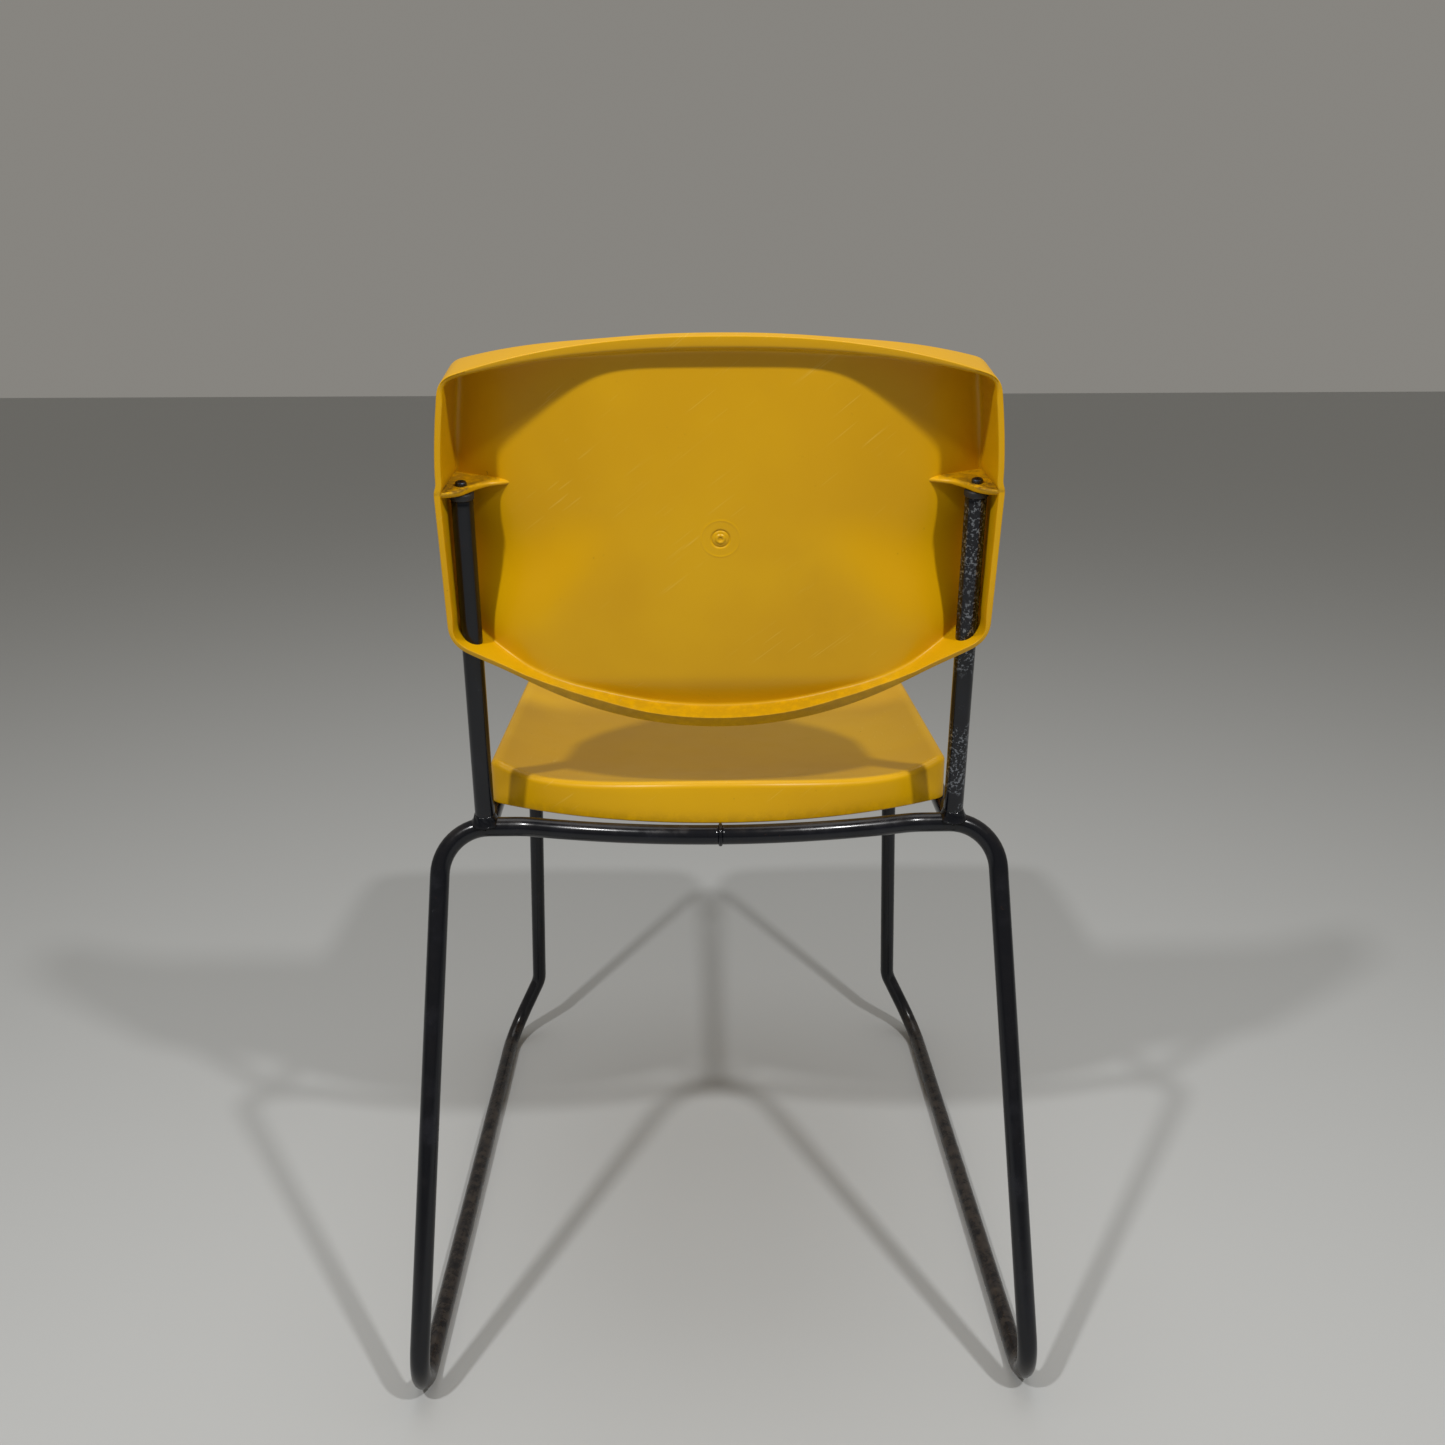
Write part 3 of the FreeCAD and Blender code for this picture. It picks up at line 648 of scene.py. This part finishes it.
# A polar skin: dish from the middle out to the rim, over the rounded edge, down the skirt,
# round the lip, up inside and back under the dish to the middle.
def makeSeatShell():
    loop = seatOutline()
    away = outwards(loop)
    centre = np.array([0.0, seat["centreY"]])
    s = seat

    def level(d, z):
        at = loop - away * d
        return np.concatenate([at, np.broadcast_to(z, (len(at), 1)) if np.ndim(z) < 2 else z], 1)

    def inward(share, d, drop):
        at = blend(centre, loop - away * d, share)
        return np.concatenate([at, (seatTopZ(at[:, 0], at[:, 1]) - drop)[:, None]], 1)

    def edgeZ(d):
        at = loop - away * d
        return seatTopZ(at[:, 0], at[:, 1])[:, None]

    rounding, wall, lip, bend = s["edgeRound"], s["wall"], s["lipRound"], s["bend"]
    rings = [inward(t, rounding, 0) for t in np.linspace(0.012, 1, 60)]
    turn = np.linspace(0, math.pi / 2, 8)[1:]
    top = edgeZ(rounding)
    rings += [level(rounding * (1 - math.sin(a)), top - rounding * (1 - math.cos(a)))
              for a in turn]
    rings += [level(0, blend(top - rounding, seatLow + lip, t)) for t in np.linspace(0, 1, 7)[1:]]
    rings += [level(lip * (1 - math.cos(a)), np.full((len(loop), 1), seatLow)
                    + lip * (1 - math.sin(a))) for a in turn[::2]]
    rings += [level(wall - lip * (1 - math.cos(a)), np.full((len(loop), 1), seatLow)
                    + lip * (1 - math.sin(a))) for a in turn[::-2]]
    under = edgeZ(wall + bend) - wall
    rings += [level(wall, blend(np.full_like(under, seatLow + lip), under - bend, t))
              for t in np.linspace(0, 1, 6)]
    rings += [level(wall + bend * (1 - math.cos(a)), under - bend * (1 - math.sin(a)))
              for a in turn[::2]]
    rings += [inward(t, wall + bend, wall) for t in np.linspace(1, 0.012, 50)[1:]]
    return closedGrid(np.stack(rings)), loop, away


# An upright rib between two points: its lower edge straight and rounded, its upper edge
# following topZ.
def slab(ends, low, thick, topZ, columns=40, lipR=0.0006):
    a, b = np.array(ends[0]), np.array(ends[1])
    along = (b - a) / np.linalg.norm(b - a)
    side = np.array([-along[1], along[0]])
    t = np.linspace(0, 1, columns)[:, None]
    line = blend(a, b, t)
    top = topZ(line[:, 0], line[:, 1])
    h = thick / 2
    section = [(h, None), (h, lipR), (h - lipR * 0.3, lipR * 0.3), (h - lipR, 0),
               (-h + lipR, 0), (-h + lipR * 0.3, lipR * 0.3), (-h, lipR), (-h, None)]
    rings = []
    for offset, lift in section:
        at = line + side * offset
        z = top if lift is None else np.full(columns, low + lift)
        rings.append(np.column_stack([at, z]))
    return closedGrid(np.stack(rings, 1))


seatSkin, seatLoop, seatAway = makeSeatShell()
ribParts = []
ribLow = seatLow + seat["ribLift"]


# The dish's lower face, a little inside its thickness, where the ribs end.
def underZ(x, y):
    return seatTopZ(x, y) - seat["wall"] + 0.0006


# Where a straight line across the seat meets the inside of its skirt.
def insideSpan(fixed, axis):
    inner = seatLoop - seatAway * (seat["wall"] - 0.0008)
    values = inner[:, axis] - fixed
    cross = np.nonzero(np.sign(values) != np.sign(np.roll(values, -1)))[0]
    other = inner[cross, 1 - axis]
    return other.min(), other.max()


for k in range(-2, 3):
    x = k * seat["ribPitch"]
    low, high = insideSpan(x, 0)
    ribParts.append(slab(((x, low), (x, high)), ribLow, seat["ribThick"], underZ))
for k in range(-3, 3):
    y = k * seat["ribPitch"] - 0.01
    low, high = insideSpan(y, 1)
    ribParts.append(slab(((low, y), (high, y)), ribLow, seat["ribThick"], underZ))
seatShell = addMesh("seatShell", *joined([seatSkin] + ribParts))
spots = points(seatShell)
edge = smooth(1 - np.abs(spots[:, 2] - seatLow) / 0.012) * smooth((spots[:, 1] - 0.05) / 0.1)
paint(seatShell, "grime", 0.22 * edge)
dress(seatShell, yellowSeat, "shell_yellow", "seat_shell")
print("seat made")


# Back.
back = {"around": 640, "topV": 0.364, "topFall": 0.0235, "cornerU": 0.1795, "cornerV": 0.3355,
        "sideU": 0.1882, "sideV": 0.266, "step": 0.0018, "lowU": 0.1887, "lowV": 0.1485,
        "skirtU": 0.140, "skirtV": 0.1236, "bottomV": 0.0862, "topRound": 0.020,
        "lowRound": 0.027, "rimSag": 0.008, "rimHalf": 0.1885, "wall": 0.004, "gateV": 0.226,
        "frontRound": 0.0050, "fallHalf": 0.165, "panelW": -0.0095}


# Crowned top (fall grows as |u|^2.3), sides that taper upwards, a straight skirt and a
# deep arc below, with its corners averaged round and a small outward step in each side.
def backOutline():
    b = back
    u = np.linspace(0, b["cornerU"], 700)
    top = np.stack([u, b["topV"] - b["topFall"] * (u / b["fallHalf"]) ** 2.3], -1)
    v = np.linspace(b["cornerV"], b["sideV"], 300)
    taper = (v - b["sideV"]) / (b["cornerV"] - b["sideV"])
    upper = np.stack([b["sideU"] - 0.0087 * taper ** 1.5, v], -1)
    lower = np.array([[b["sideU"], b["sideV"]], [b["lowU"], b["lowV"]]])
    sag = b["skirtV"] - b["bottomV"]
    radius = (b["skirtU"] ** 2 + sag ** 2) / (2 * sag)
    u = np.linspace(b["skirtU"], 0, 600)
    bottom = np.stack([u, b["bottomV"] + radius - np.sqrt(radius ** 2 - u ** 2)], -1)
    half = np.concatenate([top, upper[1:], lower[1:], bottom])
    loop = evenLoop(np.concatenate([half, half[-2:0:-1] * (-1, 1)]), 8000)
    spacing = np.linalg.norm(loop[1] - loop[0])
    tight = roundedLoop(roundedLoop(loop, b["topRound"], spacing), 0.006, spacing)
    wide = roundedLoop(roundedLoop(loop, b["lowRound"], spacing), 0.006, spacing)
    loop = blend(wide, tight, smooth((loop[:, 1:] - 0.2) / 0.05))
    out = b["step"] * smooth((b["sideV"] - loop[:, 1]) / 0.008) \
        * smooth((np.abs(loop[:, 0]) - 0.150) / 0.03)
    loop[:, 0] += np.sign(loop[:, 0]) * out
    return evenLoop(loop, b["around"])


# Rear face of the panel: nearly flat in the middle, bending forward beside it. The bend
# starts further out and is steeper low down, and the lowest strip sinks a little.
def floorW(u, v):
    up = smooth((v - 0.145) / 0.100)
    slope, start, width = blend(0.95, 0.42, up), blend(0.142, 0.078, up), blend(0.012, 0.010, up)
    return (back["panelW"] - 0.006 * smooth((0.122 - v) / 0.030)
            - slope * softRamp(np.abs(u) - start, width))


def rimW(u):
    return -back["rimSag"] * (u / back["rimHalf"]) ** 2


# Mould gate: a low knob in a shallow ring, inside a faint wider ring.
def gateMark(radius):
    knob = 0.0010 * smooth((0.0036 - radius) / 0.0007) - 0.0007 * smooth((0.0020 - radius) / 0.0008)
    dip = -0.0008 * np.exp(-((radius - 0.0060) / 0.0006) ** 2)
    faint = 0.0002 * np.exp(-((radius - 0.0130) / 0.0006) ** 2)
    return knob + dip + faint


# Width of the rim's rear face: wide at the top's middle, narrow at the corners.
def rimThickness(u, v):
    a = np.abs(u)
    top = 0.003 + 0.005 * (1 - np.clip(a / back["fallHalf"], 0, 1) ** 2.2)
    bottom = np.interp(a, (0, 0.052, 0.087, 0.115, 0.140, 0.19),
                       (0.0059, 0.0058, 0.0067, 0.0055, 0.0030, 0.0030))
    side = np.full_like(a, 0.0043)
    thick = blend(bottom, side, smooth((v - 0.150) / 0.020))
    return blend(thick, top, smooth((v - 0.320) / 0.015))


# A polar skin: panel from the gate mark out to the wall's foot, up the wall, over the rim,
# down outside, round the front edge and back over the panel's front to the middle.
def makeBackShell():
    loop = backOutline()
    away = outwards(loop)
    u, v = loop[:, 0], loop[:, 1]
    pole = np.array([0.0, back["gateV"]])
    lowShare = 1 - smooth((v - 0.135) / 0.030)
    topShare = smooth((v - 0.318) / 0.018)
    thick = rimThickness(u, v)
    rim = rimW(u)
    wall = back["wall"]

    def at(d, w):
        p = loop - away * np.reshape(d, (-1, 1))
        return backPoint(p[:, 0], p[:, 1], w)

    def floorAt(d, drop=0.0):
        p = loop - away * np.reshape(d, (-1, 1))
        return floorW(p[:, 0], p[:, 1]) - drop

    draft = blend(0.0030, 0.0022, lowShare)
    footD = thick + draft
    footW = floorAt(footD)
    # foot fillet, in (distance inwards, height)
    foot = blend(0.0025, 0.0060, smooth((v - 0.262) / 0.02) * smooth((np.abs(u) - 0.10) / 0.05))
    rise = np.maximum(rim - footW, 0.006)
    fillet = bezier((footD + foot, floorAt(footD + foot)), (footD, footW),
                    (footD - draft * foot / rise, footW + foot), 7)
    # inner rim edge
    edgeIn = blend(blend(0.0010, 0.0005, lowShare), 0.0026, topShare)
    chin = blend(0.0, 0.0006, topShare)
    recess = blend(0.0003, 0.0018 + 0.0072 * (1 - smooth(np.abs(u) / 0.165)), lowShare)
    recess = blend(recess, 0.0, topShare)
    innerW, outerW = rim - chin, rim - recess
    edgeOut = blend(0.0010, 0.0006, np.maximum(lowShare, topShare))
    outD = -0.72 * recess * lowShare  # the lower rim's sloping face runs past the outline
    slopeIn = (outerW - innerW) / (thick - outD)
    upWall = (thick + draft * edgeIn / rise, innerW - edgeIn)
    overIn = bezier(upWall, (thick, innerW), (thick - edgeIn, innerW + slopeIn * edgeIn), 6)
    overOut = bezier((outD + edgeOut, outerW - slopeIn * edgeOut), (outD, outerW),
                     (outD, outerW - edgeOut), 5)
    frontRound = back["frontRound"]
    frontW = floorAt(np.zeros_like(u), wall)
    frontStart = np.minimum(frontW + frontRound, outerW - edgeOut - 0.001)
    around = bezier((thick * 0, frontStart), (thick * 0, frontW),
                    (thick * 0 + frontRound, floorAt(thick * 0 + frontRound, wall)), 8)

    # Rings between the middle and the ring d inside the outline, flat on the panel.
    def inward(radii, d, drop, gate):
        edgeLoop = loop - away * np.reshape(d, (-1, 1))
        made = []
        for share, radius in radii:
            p = blend(pole, edgeLoop, share)
            if radius:  # near the middle the rings are circles
                ray = (edgeLoop - pole) / np.linalg.norm(edgeLoop - pole, axis=1)[:, None]
                p = pole + ray * radius
            w = floorW(p[:, 0], p[:, 1]) - drop
            if gate:
                w = w + gateMark(np.linalg.norm(p - pole, axis=1))
            made.append(backPoint(p[:, 0], p[:, 1], w))
        return made

    near = [(0, r) for r in np.arange(0.0006, 0.0150, 0.0004)]
    rings = inward(near + [(t, 0) for t in np.linspace(0.16, 1, 34)[:-1]], footD + foot, 0, True)
    rings += [at(d, w) for d, w in fillet]
    rings += [at(blend(fillet[-1][0], upWall[0], t), blend(fillet[-1][1], upWall[1], t))
              for t in np.linspace(0, 1, 7)[1:-1]]
    rings += [at(d, w) for d, w in overIn]
    rings += [at(blend(overIn[-1][0], overOut[0][0], 0.5), blend(overIn[-1][1],
                                                                 overOut[0][1], 0.5))]
    rings += [at(d, w) for d, w in overOut]
    rings += [at(outD * (1 - t), blend(overOut[-1][1], frontStart, t))
              for t in np.linspace(0, 1, 7)[1:-1]]
    rings += [at(d, w) for d, w in around]
    rings += inward([(t, 0) for t in np.linspace(0.98, 0.02, 26)], thick * 0 + frontRound,
                    wall, False)
    return closedGrid(np.stack(rings))


webs = {"v": 0.2555, "thick": 0.004, "columns": 60, "sunk": 0.0030, "slim": 0.0004,
        "screwU": 0.1765, "screwW": -0.019, "dustFrom": 0.150, "dustReach": 0.020,
        "outerU": 0.1872, "innerU": 0.1410,
        "knotU": (0.1872, 0.1790, 0.1720, 0.1655, 0.1580, 0.1543, 0.1500, 0.1410),
        "topW": (-0.0086, -0.0090, -0.0140, -0.0255, -0.0353, -0.0390, -0.0410, -0.0400),
        "noseW": (-0.0092, -0.0105, -0.0148, -0.0245, -0.0318, -0.0336, -0.0350, -0.0372)}


# The shelf across a side pocket: a flat slab whose rear edge swings forward from the rim
# to the panel in an S, and is rounded like a nose that thickens as it fades out.
def makeWeb(side):
    w = webs
    u = np.linspace(w["outerU"], w["innerU"], w["columns"])
    knots = np.array(w["knotU"])
    soft = np.ones(7) / 7  # running average that rounds the knots

    def follow(values):
        line = np.interp(u, knots[::-1], values[::-1])
        return np.convolve(np.pad(line, 3, "edge"), soft, "valid")

    top, nose = follow(w["topW"]), follow(w["noseW"])
    low, high = w["v"], w["v"] + w["thick"]
    deep = floorW(u, np.full_like(u, low)) - w["sunk"]  # ends inside the panel's thickness
    section = [(blend(deep, top - 0.003, s), high) for s in np.linspace(0, 1, 16)]
    # top edge, nose, then under the slab
    section += bezier((top - 0.0004, high), (nose + 0.0014, high - 0.0012),
                      (nose - 0.0012, low), 9)
    section += [(nose - 0.004, low), (deep, low)]
    rings = [backPoint(side * u, np.broadcast_to(height, u.shape),
                       np.maximum(depth, deep + w["slim"] * (depth is not deep)))
             for depth, height in section]
    return closedGrid(np.stack(rings, 1))


backShell = addMesh("backShell", *joined([makeBackShell(), makeWeb(1), makeWeb(-1)]))
spots = points(backShell) - backOrigin
wide, high, deep = np.abs(spots @ across), spots @ upLean, spots @ rearwards
# dirt lies on the shelves, thickest round their screws, and on the ledge along the bottom
screwSpot = np.hypot(wide - webs["screwU"], deep - webs["screwW"])
shelfTop = webs["v"] + webs["thick"]
onShelf = smooth(1 - np.abs(high - shelfTop) / 0.002) * (wide > webs["dustFrom"]) \
    * (deep > floorW(wide, high) + 0.0005)
lowLedge = smooth(1 - (high - 0.10) / 0.05) * (deep > floorW(wide, high) + 0.001)
grime = 0.98 * onShelf * (0.5 + 0.5 * smooth(1 - screwSpot / webs["dustReach"])) + 0.20 * lowLedge
paint(backShell, "grime", np.clip(grime * (deep > -0.055), 0, 1))
dress(backShell, yellowBack, "shell_yellow", "back_shell")
print("back made")


# Finishes on the CAD pieces that stay.
keptFinishes = {"back_screws": darkScrew, "seat_screws": darkScrew, "seat_washers": zincPlate,
                "rear_seat_lugs": blackFrame, "front_seat_lugs": blackFrame}
for nodeName, finish in keptFinishes.items():
    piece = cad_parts[nodeName]
    if not piece.material_slots:
        piece.data.materials.append(finish)
    for slot in piece.material_slots:
        slot.material = finish


# Stage, lights and camera.
stage = {"floorSize": 30.0, "floor": srgb(190, 191, 190), "world": srgb(232, 228, 220),
         "worldPower": 0.30}
floorMesh = bpy.data.meshes.new("studioFloor")
half = stage["floorSize"] / 2
floorMesh.from_pydata([(-half, -half, 0), (half, -half, 0), (half, half, 0), (-half, half, 0)],
                      [], [(0, 1, 2, 3)])
floor = bpy.data.objects.new("studioFloor", floorMesh)
bpy.context.collection.objects.link(floor)
floorPaint = bpy.data.materials.new("studioFloorPaint")
floorPaint.use_nodes = True
floorPaint.node_tree.nodes["Principled BSDF"].inputs["Base Color"].default_value = stage["floor"]
floorPaint.node_tree.nodes["Principled BSDF"].inputs["Roughness"].default_value = 0.7
floorMesh.materials.append(floorPaint)

world = bpy.data.worlds.new("studioWorld")
world.use_nodes = True
world.node_tree.nodes["Background"].inputs["Color"].default_value = stage["world"]
world.node_tree.nodes["Background"].inputs["Strength"].default_value = stage["worldPower"]
bpy.context.scene.world = world

lights = {"leftKey": ((0.76, 1.20, 1.80), (0.0, 0.1, 0.5), 0.10, 16.5),
          "rightKey": ((-0.76, 1.20, 1.80), (0.0, 0.1, 0.5), 0.10, 16.5),
          "overhead": ((0.0, -0.4, 3.0), (0.0, 0.0, 0.3), 2.2, 18.0)}
for name, (place, target, size, power) in lights.items():
    lamp = bpy.data.lights.new(name, "AREA")
    lamp.shape, lamp.size, lamp.energy = "DISK", size, power
    made = bpy.data.objects.new(name, lamp)
    made.location = place
    made.rotation_euler = (Vector(target) - Vector(place)).to_track_quat("-Z", "Y").to_euler()
    bpy.context.collection.objects.link(made)

view = {"place": (0.01750, 1.13212, 0.80631), "roll": 0.002, "right": (-0.99978, 0.02086, -0.00141),
        "up": (-0.00733, -0.28630, 0.95811), "forward": (-0.01958, -0.95791, -0.28639),
        "lens": 33.288, "sensor": 36.0}
camera = bpy.data.objects.new("studioCamera", bpy.data.cameras.new("studioCamera"))
bpy.context.collection.objects.link(camera)
sideways, upwards = Vector(view["right"]), Vector(view["up"])
sideways, upwards = sideways - view["roll"] * upwards, upwards + view["roll"] * sideways
turn = Matrix((sideways, upwards, -Vector(view["forward"]))).transposed()
camera.matrix_world = Matrix.Translation(view["place"]) @ turn.to_4x4()
camera.data.lens, camera.data.sensor_width = view["lens"], view["sensor"]
camera.data.dof.use_dof = False
camera.data.clip_start = 0.01
bpy.context.scene.camera = camera
bpy.context.scene.view_settings.view_transform = "Standard"
print("stage, lights and camera made")
